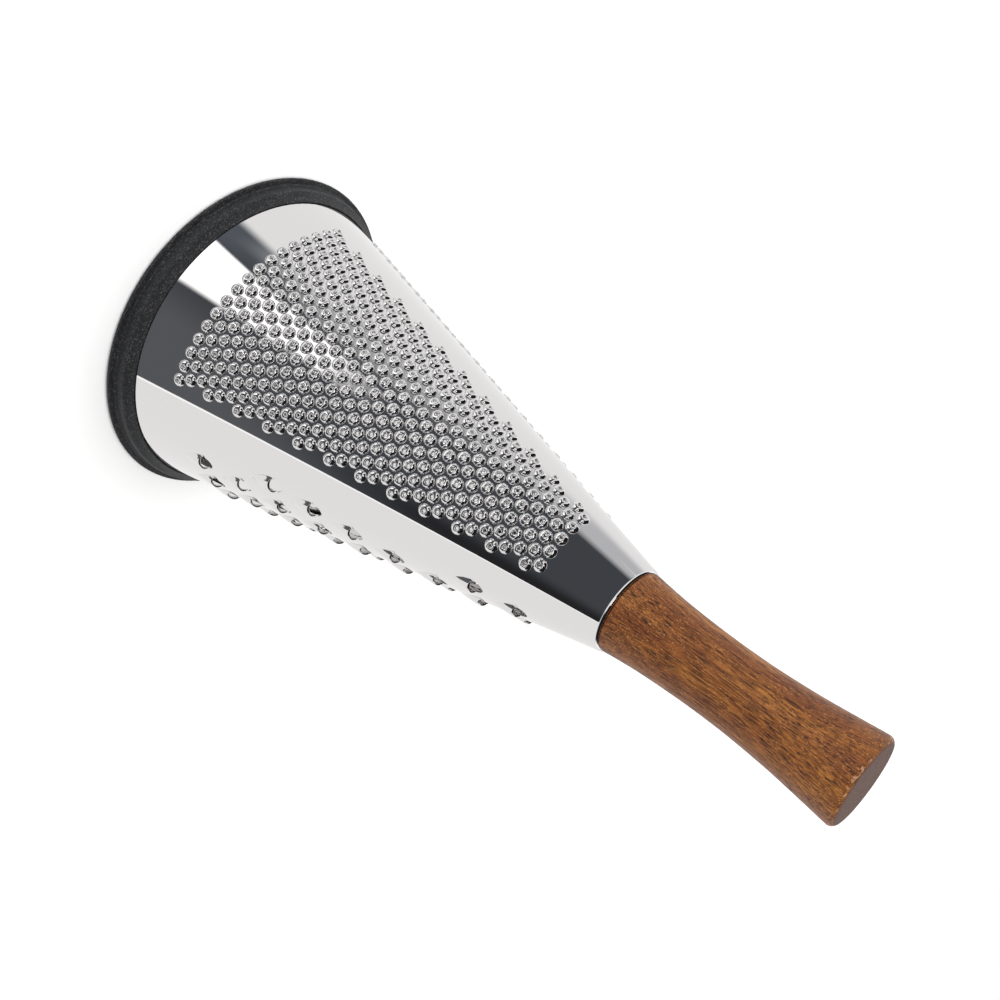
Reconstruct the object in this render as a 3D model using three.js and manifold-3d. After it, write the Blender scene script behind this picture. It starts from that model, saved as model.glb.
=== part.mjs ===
// Conical hand grater: a punched stainless cone on a rubber foot ring, with a turned wooden
// handle at its narrow end, held from inside by a steel disc, a washer and one screw.
// Millimetres, +Z up. The origin is the middle of the foot ring's underside.

import * as THREE from 'three';
import { mergeVertices } from 'three/addons/utils/BufferGeometryUtils.js';
import { ConvexGeometry } from 'three/addons/geometries/ConvexGeometry.js';
import Module from 'manifold-3d';

const wasm = await Module();
wasm.setup();

// ---- Driving dimensions ------------------------------------------------------------------

// Cone of punched sheet. Radii are to the outside of the sheet.
const SHEET = 0.7;
const RIM_Z = 1.5;
const RIM_RADIUS = 57.6;
const CONE_HEIGHT = 181.3;
const NECK_RADIUS = 15.05;
const NECK_LIP = 2.25;
const NECK_BEND = 1.2;

// Foot ring. The flange and the side stand out this far from the cone.
const RING_FLANGE_OUT = 4.3;
const RING_SIDE_OUT = 3.6;
const RING_FLANGE_HEIGHT = 1.7;
const RING_TOP_Z = 8.5;
const RING_LIP = 0.9;
const RING_INNER_WALL = 2.6;
const RING_INNER_TOP_Z = 6.0;

// Handle. Its shoulder steps in this far from the neck.
const HANDLE_LENGTH = 85.4;
const SHOULDER_STEP = 0.7;
const HANDLE_WAIST_RADIUS = 12.15;
const HANDLE_END_RADIUS = 15.6;
const HANDLE_END_ROUND = 1.8;
const TENON_LENGTH = 13;

// Fastening inside the neck.
const DISC_THICKNESS = 1.5;
const WASHER_RADIUS = 5.2;
const WASHER_THICKNESS = 1.1;
const SCREW_RADIUS = 2.1;
const SCREW_REACH = 24;
const SCREW_HEAD_RADIUS = 4.1;
const SCREW_HEAD_HEIGHT = 2.7;
const RECESS_SPAN = 4.4;
const RECESS_SLOT = 1.1;
const RECESS_DEPTH = 1.5;

// Grating zones, each a pattern on the unrolled sheet. Turns are degrees from the front, and
// a zone starts this far up the slope from the rim and stops short of the neck.
const NECK_CLEAR = 24.5;
const FINE_TURN = 0;
const FINE_START = 26.15;
const FINE_PITCH = 5.16;
const FINE_ROW_PITCH = 3.98;
const FINE_FIRST_ROW = 17;
const FINE_TOOTH_RADIUS = 2.25;
const FINE_TOOTH_HEIGHT = 1.45;
const FINE_TOOTH_SIDES = 3;

const COARSE_TURN = 121;
const COARSE_START = 36.15;
const COARSE_PITCH = 11.9;
const COARSE_ROW_PITCH = 15.27;
const COARSE_ROWS = [7, 6, 7, 6, 5, 4, 3, 4, 3];
const SCOOP_WIDTH = 7.4;
const SCOOP_HEIGHT = 1.6;
const SCOOP_LENGTH = 9.5;
const SCOOP_LEAN = 0.5;
const SCOOP_HOLE_REACH = 3.4;
const ARCH_STEPS = 3;

// How far a row bows from a straight line on the flat sheet towards a circle round the cone.
const ROW_BOW = 0.5;

// Fits.
const GAP = 0.3;
const CONE_SEGMENTS = 40;
const HANDLE_SEGMENTS = 36;
const SMALL_SEGMENTS = 24;
const FRONT = -Math.PI / 2;

// ---- Sizes that follow from them ---------------------------------------------------------

const NECK_Z = RIM_Z + CONE_HEIGHT;
const TAPER = (RIM_RADIUS - NECK_RADIUS) / CONE_HEIGHT;
const SLANT_ANGLE = Math.atan(TAPER);
const SLANT_LENGTH = CONE_HEIGHT / Math.cos(SLANT_ANGLE);
const APEX_SLANT = RIM_RADIUS / Math.sin(SLANT_ANGLE);
const SHEET_ACROSS = SHEET / Math.cos(SLANT_ANGLE);
const SHOULDER_Z = NECK_Z + GAP;
const NECK_OPENING_RADIUS = NECK_RADIUS - NECK_LIP;
const SHOULDER_RADIUS = NECK_RADIUS - SHOULDER_STEP;
const TENON_RADIUS = NECK_OPENING_RADIUS - GAP;
const TENON_END_Z = SHOULDER_Z - TENON_LENGTH;
const BORE_RADIUS = SCREW_RADIUS + GAP;
const DISC_TOP_Z = TENON_END_Z - GAP;
const WASHER_TOP_Z = DISC_TOP_Z - DISC_THICKNESS - GAP;
const HEAD_TOP_Z = WASHER_TOP_Z - WASHER_THICKNESS - GAP;

const coneRadius = (z) => RIM_RADIUS - (z - RIM_Z) * TAPER;
const coneInside = (z) => coneRadius(z) - SHEET_ACROSS;

// ---- Making solids -----------------------------------------------------------------------

function solidOf(geometry) {
  const bare = geometry.clone();
  bare.deleteAttribute('normal');
  bare.deleteAttribute('uv');
  const merged = mergeVertices(bare, 1e-4);
  const index = merged.index.array;
  const triangles = [];
  for (let i = 0; i < index.length; i += 3) {
    const [a, b, c] = [index[i], index[i + 1], index[i + 2]];
    if (a !== b && b !== c && c !== a) triangles.push(a, b, c);
  }
  return new wasm.Manifold(new wasm.Mesh({
    numProp: 3,
    vertProperties: new Float32Array(merged.attributes.position.array),
    triVerts: new Uint32Array(triangles),
  }));
}

function geometryOf(solid) {
  const { vertProperties, triVerts } = solid.getMesh();
  const geometry = new THREE.BufferGeometry();
  geometry.setAttribute('position', new THREE.BufferAttribute(vertProperties, 3));
  geometry.setIndex(new THREE.BufferAttribute(triVerts, 1));
  geometry.computeVertexNormals();
  return geometry;
}

function joinAll(solids) {
  return solids.reduce((whole, next) => whole.add(next));
}

// Turns an outline of [radius, height] points round the Z axis.
function turned(outline, segments) {
  const points = outline.map(([r, z]) => new THREE.Vector2(r, z));
  return new THREE.LatheGeometry(points, segments).rotateX(Math.PI / 2);
}

// Points of an arc in the outline's plane, from one angle to another, both in degrees.
function arc(centreR, centreZ, radius, fromDegrees, toDegrees, steps) {
  return Array.from({ length: steps + 1 }, (_, i) => {
    const angle = THREE.MathUtils.degToRad(fromDegrees + (toDegrees - fromDegrees) * i / steps);
    return [centreR + radius * Math.cos(angle), centreZ + radius * Math.sin(angle)];
  });
}

function part(name, geometry, color, roughness, metalness) {
  const material = new THREE.MeshStandardMaterial({ color, roughness, metalness });
  const mesh = new THREE.Mesh(geometry, material);
  mesh.name = name;
  return mesh;
}

// ---- Places on the cone ------------------------------------------------------------------

// The frame of a spot on the cone: X runs round it, Y up the slope and Z out of the sheet.
// across is measured along a row from the zone's middle, slant up the slope from the rim.
function spotOnCone(turnDegrees, across, slant) {
  const straight = APEX_SLANT - slant;
  const fromApex = straight + (1 - ROW_BOW) * (Math.hypot(straight, across) - straight);
  const turn = Math.asin(across / fromApex) / Math.sin(SLANT_ANGLE);
  const angle = FRONT + THREE.MathUtils.degToRad(turnDegrees) + turn;
  const radius = fromApex * Math.sin(SLANT_ANGLE);
  const height = RIM_Z + (APEX_SLANT - fromApex) * Math.cos(SLANT_ANGLE);
  const around = new THREE.Vector3(-Math.sin(angle), Math.cos(angle), 0);
  const outward = new THREE.Vector3(Math.cos(angle), Math.sin(angle), TAPER).normalize();
  const upslope = new THREE.Vector3().crossVectors(outward, around);
  return new THREE.Matrix4()
    .makeBasis(around, upslope, outward)
    .setPosition(radius * Math.cos(angle), radius * Math.sin(angle), height);
}

// Every place of a staggered pattern: rows up the slope, countOf(row) teeth in each.
function zonePlaces(turnDegrees, start, rowPitch, pitch, countOf) {
  const rows = Math.floor((SLANT_LENGTH - NECK_CLEAR - start) / rowPitch) + 1;
  const places = [];
  for (let row = 0; row < rows; row += 1) {
    const count = countOf(row);
    for (let i = 0; i < count; i += 1) {
      const across = (i - (count - 1) / 2) * pitch;
      places.push(spotOnCone(turnDegrees, across, start + row * rowPitch));
    }
  }
  return places;
}

// The fine zone's sides step in by half a pitch a row, and back out every third row.
function fineCount(row) {
  return Math.max(FINE_FIRST_ROW - Math.floor(row / 3) - (row % 3), 2);
}

// The coarse zone's counts alternate odd and even, so the rows stagger.
function coarseCount(row) {
  const last = COARSE_ROWS.length - 1;
  return COARSE_ROWS[row <= last ? row : last - ((row - last) % 2)];
}

// ---- The grater's teeth ------------------------------------------------------------------

// A fine tooth: a small pointed burr with flat sides, rooted in the sheet.
function fineTooth() {
  const root = SHEET / 2;
  const slope = FINE_TOOTH_RADIUS / FINE_TOOTH_HEIGHT;
  const height = FINE_TOOTH_HEIGHT + root;
  return new THREE.ConeGeometry(slope * height, height, FINE_TOOTH_SIDES)
    .translate(0, height / 2 - root, 0)
    .rotateX(Math.PI / 2);
}

// Half of an ellipse across a scoop, from one side over the top to the other.
function halfEllipse(halfWidth, height, steps) {
  return Array.from({ length: steps + 1 }, (_, i) => {
    const angle = Math.PI * i / steps;
    return { x: halfWidth * Math.cos(angle), rise: height * Math.sin(angle) };
  });
}

// The raised metal of a coarse tooth: it climbs towards the neck and ends in an open arch.
function scoopOutside() {
  const half = SCOOP_WIDTH / 2;
  const root = -SHEET / 2;
  const arch = halfEllipse(half, SCOOP_HEIGHT, ARCH_STEPS)
    .map(({ x, rise }) => new THREE.Vector3(x, SCOOP_LEAN * rise / SCOOP_HEIGHT, rise));
  return new ConvexGeometry([
    ...arch,
    new THREE.Vector3(half, 0, root),
    new THREE.Vector3(-half, 0, root),
    new THREE.Vector3(0, -SCOOP_LENGTH * 0.45, SCOOP_HEIGHT * 0.62),
    new THREE.Vector3(half * 0.3, -SCOOP_LENGTH, root),
    new THREE.Vector3(-half * 0.3, -SCOOP_LENGTH, root),
  ]);
}

// What is open in a coarse tooth: the space under the arch and the hole in front of it.
function scoopInside() {
  const half = SCOOP_WIDTH / 2 - SHEET;
  const below = -2 * SHEET;
  const back = -SCOOP_LENGTH * 0.62;
  const arch = halfEllipse(half, SCOOP_HEIGHT - SHEET, ARCH_STEPS)
    .map(({ x, rise }) => new THREE.Vector3(x, SCOOP_LEAN + GAP, rise));
  const hole = halfEllipse(half, SCOOP_HOLE_REACH, ARCH_STEPS);
  return new ConvexGeometry([
    ...arch,
    ...hole.map(({ x, rise }) => new THREE.Vector3(x, rise, below)),
    ...hole.map(({ x, rise }) => new THREE.Vector3(x, rise, GAP)),
    new THREE.Vector3(0, back, 0),
    new THREE.Vector3(0, back, below),
  ]);
}

// ---- Sub-parts ---------------------------------------------------------------------------

// The sheet's outline: up the outside, over the bend at the neck, in to the opening and back.
function coneShell() {
  const bendZ = NECK_Z - NECK_BEND;
  const bendR = coneRadius(bendZ) - NECK_BEND / Math.cos(SLANT_ANGLE);
  const slope = THREE.MathUtils.radToDeg(SLANT_ANGLE);
  const outer = arc(bendR, bendZ, NECK_BEND, slope, 90, 3);
  const inner = arc(bendR, bendZ, NECK_BEND - SHEET, 90, slope, 2);
  const outline = [
    [RIM_RADIUS, RIM_Z],
    ...outer,
    [NECK_OPENING_RADIUS, NECK_Z],
    [NECK_OPENING_RADIUS, NECK_Z - SHEET],
    ...inner,
    [RIM_RADIUS - SHEET_ACROSS, RIM_Z],
    [RIM_RADIUS, RIM_Z],
  ];
  return solidOf(turned(outline, CONE_SEGMENTS));
}

function graterCone() {
  const placed = (shape, places) => places.map((spot) => solidOf(shape.clone().applyMatrix4(spot)));
  const finePlaces = zonePlaces(FINE_TURN, FINE_START, FINE_ROW_PITCH, FINE_PITCH, fineCount);
  const coarsePlaces = zonePlaces(
    COARSE_TURN, COARSE_START, COARSE_ROW_PITCH, COARSE_PITCH, coarseCount);
  const body = coneShell()
    .add(joinAll(placed(fineTooth(), finePlaces)))
    .add(joinAll(placed(scoopOutside(), coarsePlaces)))
    .subtract(joinAll(placed(scoopInside(), coarsePlaces)));
  return part('grater_cone', geometryOf(body), 0xd4d6da, 0.08, 1);
}

// Rubber ring round the rim: a flange to stand on, a coved side, a domed top and a slot.
function footRing() {
  const slotFloor = RIM_Z - GAP;
  const slotOut = (z) => coneRadius(z) + GAP;
  const slotIn = (z) => coneInside(z) - GAP;
  const inside = slotIn(slotFloor) - RING_INNER_WALL;
  const side = coneRadius(RING_TOP_Z) + RING_SIDE_OUT;
  const flange = RIM_RADIUS + RING_FLANGE_OUT;
  const outline = [
    [inside, 0],
    [flange - 1.2, 0],
    [flange - 0.2, 0.6],
    [flange, 1.0],
    [flange - 0.4, RING_FLANGE_HEIGHT - 0.1],
    [side + 0.3, RING_FLANGE_HEIGHT + 0.9],
    [side - 0.2, RING_TOP_Z - 3.6],
    [side - 0.7, RING_TOP_Z - 2.2],
    [side - 2.0, RING_TOP_Z - 0.8],
    [slotOut(RING_TOP_Z) + RING_LIP, RING_TOP_Z],
    [slotOut(RING_TOP_Z), RING_TOP_Z],
    [slotOut(slotFloor), slotFloor],
    [slotIn(slotFloor), slotFloor],
    [slotIn(RING_INNER_TOP_Z), RING_INNER_TOP_Z],
    [inside, RING_INNER_TOP_Z - 1.5],
    [inside, 0],
  ];
  return part('foot_ring', turned(outline, CONE_SEGMENTS), 0x2b2b2d, 0.75, 0);
}

// Turned handle: shoulder on the neck, waist, fuller end with a rounded edge, and the tenon.
function handle() {
  const top = SHOULDER_Z + HANDLE_LENGTH;
  const along = (share) => SHOULDER_Z + HANDLE_LENGTH * share;
  const curve = new THREE.SplineCurve([
    new THREE.Vector2(SHOULDER_RADIUS, along(0.01)),
    new THREE.Vector2(HANDLE_WAIST_RADIUS + 0.7, along(0.19)),
    new THREE.Vector2(HANDLE_WAIST_RADIUS, along(0.42)),
    new THREE.Vector2(HANDLE_WAIST_RADIUS + 0.95, along(0.71)),
    new THREE.Vector2(HANDLE_END_RADIUS, top - HANDLE_END_ROUND),
  ]);
  const side = curve.getPoints(9).map(({ x, y }) => [x, y]);
  const centre = HANDLE_END_RADIUS - HANDLE_END_ROUND;
  const round = arc(centre, top - HANDLE_END_ROUND, HANDLE_END_ROUND, 0, 90, 3).slice(1);
  const boreTop = TENON_END_Z + SCREW_REACH + GAP;
  const outline = [
    [0, boreTop],
    [BORE_RADIUS, boreTop - BORE_RADIUS],
    [BORE_RADIUS, TENON_END_Z],
    [TENON_RADIUS - 0.6, TENON_END_Z],
    [TENON_RADIUS, TENON_END_Z + 0.6],
    [TENON_RADIUS, SHOULDER_Z],
    [SHOULDER_RADIUS - 0.6, SHOULDER_Z],
    ...side,
    ...round,
    [0, top],
  ];
  return part('handle', turned(outline, HANDLE_SEGMENTS), 0x8a5530, 0.5, 0);
}

// Steel disc under the tenon. Its edge follows the inside of the cone.
function neckDisc() {
  const bottom = DISC_TOP_Z - DISC_THICKNESS;
  const outline = [
    [BORE_RADIUS, bottom],
    [coneInside(bottom) - GAP, bottom],
    [coneInside(DISC_TOP_Z) - GAP, DISC_TOP_Z],
    [BORE_RADIUS, DISC_TOP_Z],
    [BORE_RADIUS, bottom],
  ];
  return part('neck_disc', turned(outline, HANDLE_SEGMENTS), 0xb9bcc0, 0.35, 1);
}

function washer() {
  const bottom = WASHER_TOP_Z - WASHER_THICKNESS;
  const outline = [
    [BORE_RADIUS, bottom],
    [WASHER_RADIUS, bottom],
    [WASHER_RADIUS, WASHER_TOP_Z],
    [BORE_RADIUS, WASHER_TOP_Z],
    [BORE_RADIUS, bottom],
  ];
  return part('washer', turned(outline, SMALL_SEGMENTS), 0xc4c6c9, 0.3, 1);
}

// Pan-head screw from below, with a cross recess, into the handle's bore.
function handleScrew() {
  const bottom = HEAD_TOP_Z - SCREW_HEAD_HEIGHT;
  const tip = TENON_END_Z + SCREW_REACH - GAP;
  const outline = [
    [0, bottom],
    [SCREW_HEAD_RADIUS * 0.7, bottom],
    [SCREW_HEAD_RADIUS * 0.93, bottom + SCREW_HEAD_HEIGHT * 0.25],
    [SCREW_HEAD_RADIUS, bottom + SCREW_HEAD_HEIGHT * 0.6],
    [SCREW_HEAD_RADIUS, HEAD_TOP_Z],
    [SCREW_RADIUS, HEAD_TOP_Z],
    [SCREW_RADIUS, tip - 2 * SCREW_RADIUS],
    [0, tip],
  ];
  const slot = (length, width) => solidOf(
    new THREE.BoxGeometry(length, width, 2 * RECESS_DEPTH).translate(0, 0, bottom));
  const body = solidOf(turned(outline, SMALL_SEGMENTS))
    .subtract(slot(RECESS_SPAN, RECESS_SLOT))
    .subtract(slot(RECESS_SLOT, RECESS_SPAN));
  return part('handle_screw', geometryOf(body), 0xbfc1c4, 0.3, 1);
}

const grater = new THREE.Group();
grater.add(graterCone(), footRing(), handle(), neckDisc(), washer(), handleScrew());

export default grater;
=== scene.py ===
"""Looks of a conical hand grater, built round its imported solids, in metres and +Z up.

A blank of stainless sheet is punched while it is flat and then rolled into the cone, as in the
workshop. The foot ring, the handle and the fastening inside the neck are turned shapes.
"""

import logging
import math
from dataclasses import dataclass, field
from enum import Enum
from typing import Any, Callable, Iterator, Sequence

import bmesh
import bpy
import numpy as np
from mathutils import Matrix, Vector
from mathutils.geometry import delaunay_2d_cdt

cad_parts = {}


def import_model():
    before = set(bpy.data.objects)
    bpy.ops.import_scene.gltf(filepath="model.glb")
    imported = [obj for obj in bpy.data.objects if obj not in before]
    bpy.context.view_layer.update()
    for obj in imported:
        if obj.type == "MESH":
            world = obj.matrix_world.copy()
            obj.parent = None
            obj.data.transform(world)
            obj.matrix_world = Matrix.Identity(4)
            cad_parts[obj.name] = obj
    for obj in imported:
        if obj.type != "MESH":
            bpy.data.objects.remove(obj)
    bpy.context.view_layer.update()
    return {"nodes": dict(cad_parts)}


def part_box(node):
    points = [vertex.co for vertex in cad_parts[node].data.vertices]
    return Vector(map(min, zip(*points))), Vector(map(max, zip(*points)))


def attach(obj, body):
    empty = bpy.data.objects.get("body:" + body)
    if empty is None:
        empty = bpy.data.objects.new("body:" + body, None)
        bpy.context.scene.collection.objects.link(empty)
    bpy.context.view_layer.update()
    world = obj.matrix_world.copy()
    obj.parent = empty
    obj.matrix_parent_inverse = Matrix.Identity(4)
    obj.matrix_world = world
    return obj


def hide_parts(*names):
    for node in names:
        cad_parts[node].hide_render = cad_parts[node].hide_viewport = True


MM = 0.001
SAME_PLACE = 2e-6
# How far a loose fit and a tight seat stand apart, in millimetres.
FIT_GAP = 0.3
SEAT_GAP = 0.08
LOG = logging.getLogger("grater")

Point2 = tuple[float, float]
Colour = tuple[float, float, float]
Tree = bpy.types.NodeTree
Node = bpy.types.Node
Material = bpy.types.Material
Mesh = bpy.types.Mesh
Piece = bpy.types.Object


# ---- Small helpers -----------------------------------------------------------------------


def linear(hex_colour: str) -> tuple[float, float, float, float]:
    """Turns an sRGB colour into a linear one.

    Args:
        hex_colour: the colour as #RRGGBB.

    Returns:
        Linear red, green, blue and an alpha of 1.
    """
    shares = [int(hex_colour[i:i + 2], 16) / 255 for i in (1, 3, 5)]
    flat = [s / 12.92 if s <= 0.04045 else ((s + 0.055) / 1.055) ** 2.4 for s in shares]
    return flat[0], flat[1], flat[2], 1.0


def add(tree: Tree, kind: str, inputs: dict[Any, Any] | None = None,
        **settings: Any) -> Node:
    """Adds a node to a tree.

    Args:
        tree: the node tree.
        kind: the node's type name.
        inputs: what goes into its inputs, by name or number: a socket to link, a node whose
            first live output is linked, or a value.
        settings: the node's own properties.

    Returns:
        The node.
    """
    node = tree.nodes.new(kind)
    for key, value in settings.items():
        setattr(node, key, value)
    for key, value in (inputs or {}).items():
        if isinstance(value, Node):
            value = next(socket for socket in value.outputs if socket.enabled)
        if isinstance(value, bpy.types.NodeSocket):
            tree.links.new(value, node.inputs[key])
        else:
            node.inputs[key].default_value = value
    return node


def grain(tree: Tree, size_mm: Sequence[float], detail: float) -> Node:
    """Adds noise whose grains have a real size.

    Args:
        tree: the material's tree.
        size_mm: the grain's size along X, Y and Z, in millimetres.
        detail: how many finer layers the noise has.

    Returns:
        The noise node, which gives 0 to 1.
    """
    scaled = add(tree, "ShaderNodeMapping", {
        "Vector": add(tree, "ShaderNodeTexCoord").outputs["Object"],
        "Scale": tuple(1 / (size * MM) for size in size_mm)})
    return add(tree, "ShaderNodeTexNoise", {"Vector": scaled, "Scale": 1.0, "Detail": detail})


def mesh_object(name: str, mesh: Mesh) -> Piece:
    """Links a new object that shows the mesh, at the origin."""
    made = bpy.data.objects.new(name, mesh)
    bpy.context.scene.collection.objects.link(made)
    return made


def arc(centre: Point2, radius: float, start: float, end: float, steps: int) -> list[Point2]:
    """Lists points of an arc.

    Args:
        centre: the arc's centre.
        radius: its radius.
        start: the angle of its first point, in degrees.
        end: the angle of its last point, in degrees.
        steps: how many steps it is cut into.

    Returns:
        The points, both ends included.
    """
    angles = np.radians(np.linspace(start, end, steps + 1))
    return [(centre[0] + radius * math.cos(a), centre[1] + radius * math.sin(a)) for a in angles]


def outline_normals(outline: Sequence[Point2], closed: bool) -> np.ndarray:
    """Works out the outward direction at each point of an outline.

    A long stretch counts for more than a short one, so flats stay flat beside small rounds.

    Args:
        outline: the points, with the solid on the left of the way they run.
        closed: whether the last point joins the first.

    Returns:
        One unit direction for each point.
    """
    points = np.array(outline)
    ahead = np.roll(points, -1, axis=0) - points
    if not closed:
        ahead[-1] = 0
    right = np.stack([ahead[:, 1], -ahead[:, 0]], axis=1)
    total = right + np.roll(right, 1, axis=0)
    return total / np.maximum(np.linalg.norm(total, axis=1, keepdims=True), 1e-12)


def turned(name: str, outline: Sequence[Point2], segments: int) -> Mesh:
    """Turns an outline of (radius, height) points in millimetres round the Z axis.

    Args:
        name: the mesh's name.
        outline: it runs anticlockwise round the solid, and starts and ends on the axis, or
            else closes on itself.
        segments: how many steps the circle has.

    Returns:
        A closed mesh in metres, smooth, with normals worked out from the outline.
    """
    closed = outline[0][0] > 0
    slopes = outline_normals(outline, closed)
    angles = np.arange(segments) * 2 * math.pi / segments
    places, normals, rings = [], [], []
    for (radius, height), (out, up) in zip(outline, slopes):
        steps = angles if radius > 0 else angles[:1]
        rings.append([len(places) + i for i in range(len(steps))])
        for a in steps:
            places.append((radius * math.cos(a) * MM, radius * math.sin(a) * MM, height * MM))
            level = out if radius > 0 else 0.0
            normals.append(Vector((level * math.cos(a), level * math.sin(a), up)).normalized())
    pairs = list(zip(rings, rings[1:] + (rings[:1] if closed else [])))
    faces = []
    for low, high in pairs[:None if closed else len(rings) - 1]:
        for i in range(segments):
            j = (i + 1) % segments
            corners = [low[i % len(low)], low[j % len(low)], high[j % len(high)],
                       high[i % len(high)]]
            faces.append(list(dict.fromkeys(corners)))
    mesh = bpy.data.meshes.new(name)
    mesh.from_pydata(places, [], faces)
    mesh.shade_smooth()
    mesh.normals_split_custom_set_from_vertices(normals)
    return mesh


# ---- Finishes ----------------------------------------------------------------------------


@dataclass(frozen=True)
class Layer:
    """A pattern over a finish: grains of a real size that fade in between two levels."""

    size_mm: tuple[float, float, float]
    start: float
    end: float
    detail: float
    colour: str
    share: float = 1.0

    def mask(self, tree: Tree) -> Node:
        """Returns where the pattern shows, from 0 to 1."""
        return add(tree, "ShaderNodeMapRange", {
            "Value": grain(tree, self.size_mm, self.detail), "From Min": self.start,
            "From Max": self.end}, interpolation_type="SMOOTHSTEP")

    def over(self, tree: Tree, mask: Node, below: Any) -> Node:
        """Lays the pattern's colour over the colour below it, where the mask says."""
        share = add(tree, "ShaderNodeMath", {0: mask, 1: self.share}, operation="MULTIPLY")
        wanted = {0: share, 6: below, 7: linear(self.colour)}
        return add(tree, "ShaderNodeMix", wanted, data_type="RGBA")


@dataclass(frozen=True)
class Finish:
    """What every finish has: the material's name, and the name of a slot."""

    name: str
    slot: str

    def start(self) -> tuple[Material, Tree]:
        """Starts the material and returns it with its empty tree."""
        material = bpy.data.materials.new(self.name)
        material.use_nodes = True
        material.node_tree.nodes.clear()
        return material, material.node_tree

    def shaded(self, material: Material, inputs: dict[str, Any]) -> Material:
        """Ends the material with a shader that has those inputs, and returns it."""
        shader = add(material.node_tree, "ShaderNodeBsdfPrincipled", inputs)
        add(material.node_tree, "ShaderNodeOutputMaterial", {"Surface": shader})
        return material

    def dress(self, piece: Piece, material: Material) -> None:
        """Gives a piece the material, in place of any it had."""
        piece.data.materials.clear()
        piece.data.materials.append(material)


@dataclass(frozen=True)
class PolishedStainless(Finish):
    """Buffed 18/8 stainless sheet: a mirror with a faint swell and a fine buffing haze."""

    name: str = "buffed_stainless_sheet"
    slot: str = "polished_steel"
    colour: str = "#E0DEDD"
    # Buffing lines are some 0.05 mm apart, too fine to show, so their haze is drawn coarser.
    haze: Layer = Layer((0.5, 0.5, 0.5), 0.50, 0.72, 3, "#DCDCDE")
    swell_mm: float = 16.0
    swell_height_mm: float = 0.010
    roughness: tuple[float, float] = (0.02, 0.06)

    def make(self) -> Material:
        """Builds the material."""
        material, tree = self.start()
        haze = self.haze.mask(tree)
        swell = grain(tree, [self.swell_mm] * 3, detail=1)
        rough = add(tree, "ShaderNodeMapRange", {
            "Value": haze, "To Min": self.roughness[0], "To Max": self.roughness[1]})
        bump = add(tree, "ShaderNodeBump", {
            "Height": swell, "Distance": self.swell_height_mm * MM, "Strength": 1.0})
        return self.shaded(material, {
            "Base Color": self.haze.over(tree, haze, linear(self.colour)), "Roughness": rough,
            "Normal": bump, "Metallic": 1.0})


@dataclass(frozen=True)
class SatinSteel(Finish):
    """Turned and plated steel hardware: satin, with fine rings left by the tool."""

    name: str = "satin_turned_steel"
    slot: str = "plain_steel"
    colours: tuple[str, str] = ("#C9CACC", "#AEB0B4")
    ring_mm: float = 0.35
    ring_depth_mm: float = 0.01
    stain_mm: float = 5.0
    roughness: tuple[float, float] = (0.24, 0.42)

    def make(self) -> Material:
        """Builds the material."""
        material, tree = self.start()
        rings = add(tree, "ShaderNodeTexWave", {
            "Vector": add(tree, "ShaderNodeTexCoord").outputs["Object"],
            "Scale": 1 / (self.ring_mm * MM * 20), "Distortion": 0.4},
            wave_type="RINGS", rings_direction="Z")
        stain = grain(tree, [self.stain_mm] * 3, detail=4)
        rough = add(tree, "ShaderNodeMapRange", {
            "Value": stain, "To Min": self.roughness[0], "To Max": self.roughness[1]})
        bump = add(tree, "ShaderNodeBump", {
            "Height": rings.outputs[1], "Distance": self.ring_depth_mm * MM, "Strength": 0.6})
        clean, worn = (linear(colour) for colour in self.colours)
        colour = add(tree, "ShaderNodeMix", {0: stain, 6: clean, 7: worn}, data_type="RGBA")
        return self.shaded(material, {
            "Base Color": colour, "Roughness": rough, "Normal": bump, "Metallic": 1.0})


@dataclass(frozen=True)
class MouldedRubber(Finish):
    """Moulded black rubber: matt, with a spark-eroded grain and painted glints as pale specks."""

    name: str = "moulded_black_rubber"
    slot: str = "black_rubber"
    colour: str = "#1E1F21"
    # The colour of the painted glints: pale specks on the grain.
    glint_speck_colour: str = "#56575B"
    # The mould's grain is about 0.1 mm, too fine to show, so it is drawn coarser.
    grain_mm: float = 0.5
    grain_depth_mm: float = 0.06
    bloom_mm: float = 14.0
    specks_from: tuple[float, float] = (0.50, 0.70)
    specks_least: float = 0.15
    roughness: tuple[float, float] = (0.50, 0.68)

    def make(self) -> Material:
        """Builds the material."""
        material, tree = self.start()
        fine = grain(tree, [self.grain_mm] * 3, detail=3)
        bloom = grain(tree, [self.bloom_mm] * 3, detail=3)
        # Painted glints: a lighter colour where the fine grain is high, stronger where the bloom
        # noise is high.
        specks = add(tree, "ShaderNodeMapRange", {
            "Value": fine, "From Min": self.specks_from[0], "From Max": self.specks_from[1]},
            interpolation_type="SMOOTHSTEP")
        patchy = add(tree, "ShaderNodeMath", {0: bloom, 1: self.specks_least}, operation="ADD")
        painted_glints = add(tree, "ShaderNodeMath", {0: specks, 1: patchy}, operation="MULTIPLY")
        colour = add(tree, "ShaderNodeMix", {
            0: painted_glints, 6: linear(self.colour), 7: linear(self.glint_speck_colour)}, data_type="RGBA")
        rough = add(tree, "ShaderNodeMapRange", {
            "Value": bloom, "To Min": self.roughness[0], "To Max": self.roughness[1]})
        bump = add(tree, "ShaderNodeBump", {
            "Height": fine, "Distance": self.grain_depth_mm * MM, "Strength": 0.8})
        return self.shaded(material, {
            "Base Color": colour, "Roughness": rough, "Normal": bump})


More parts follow.
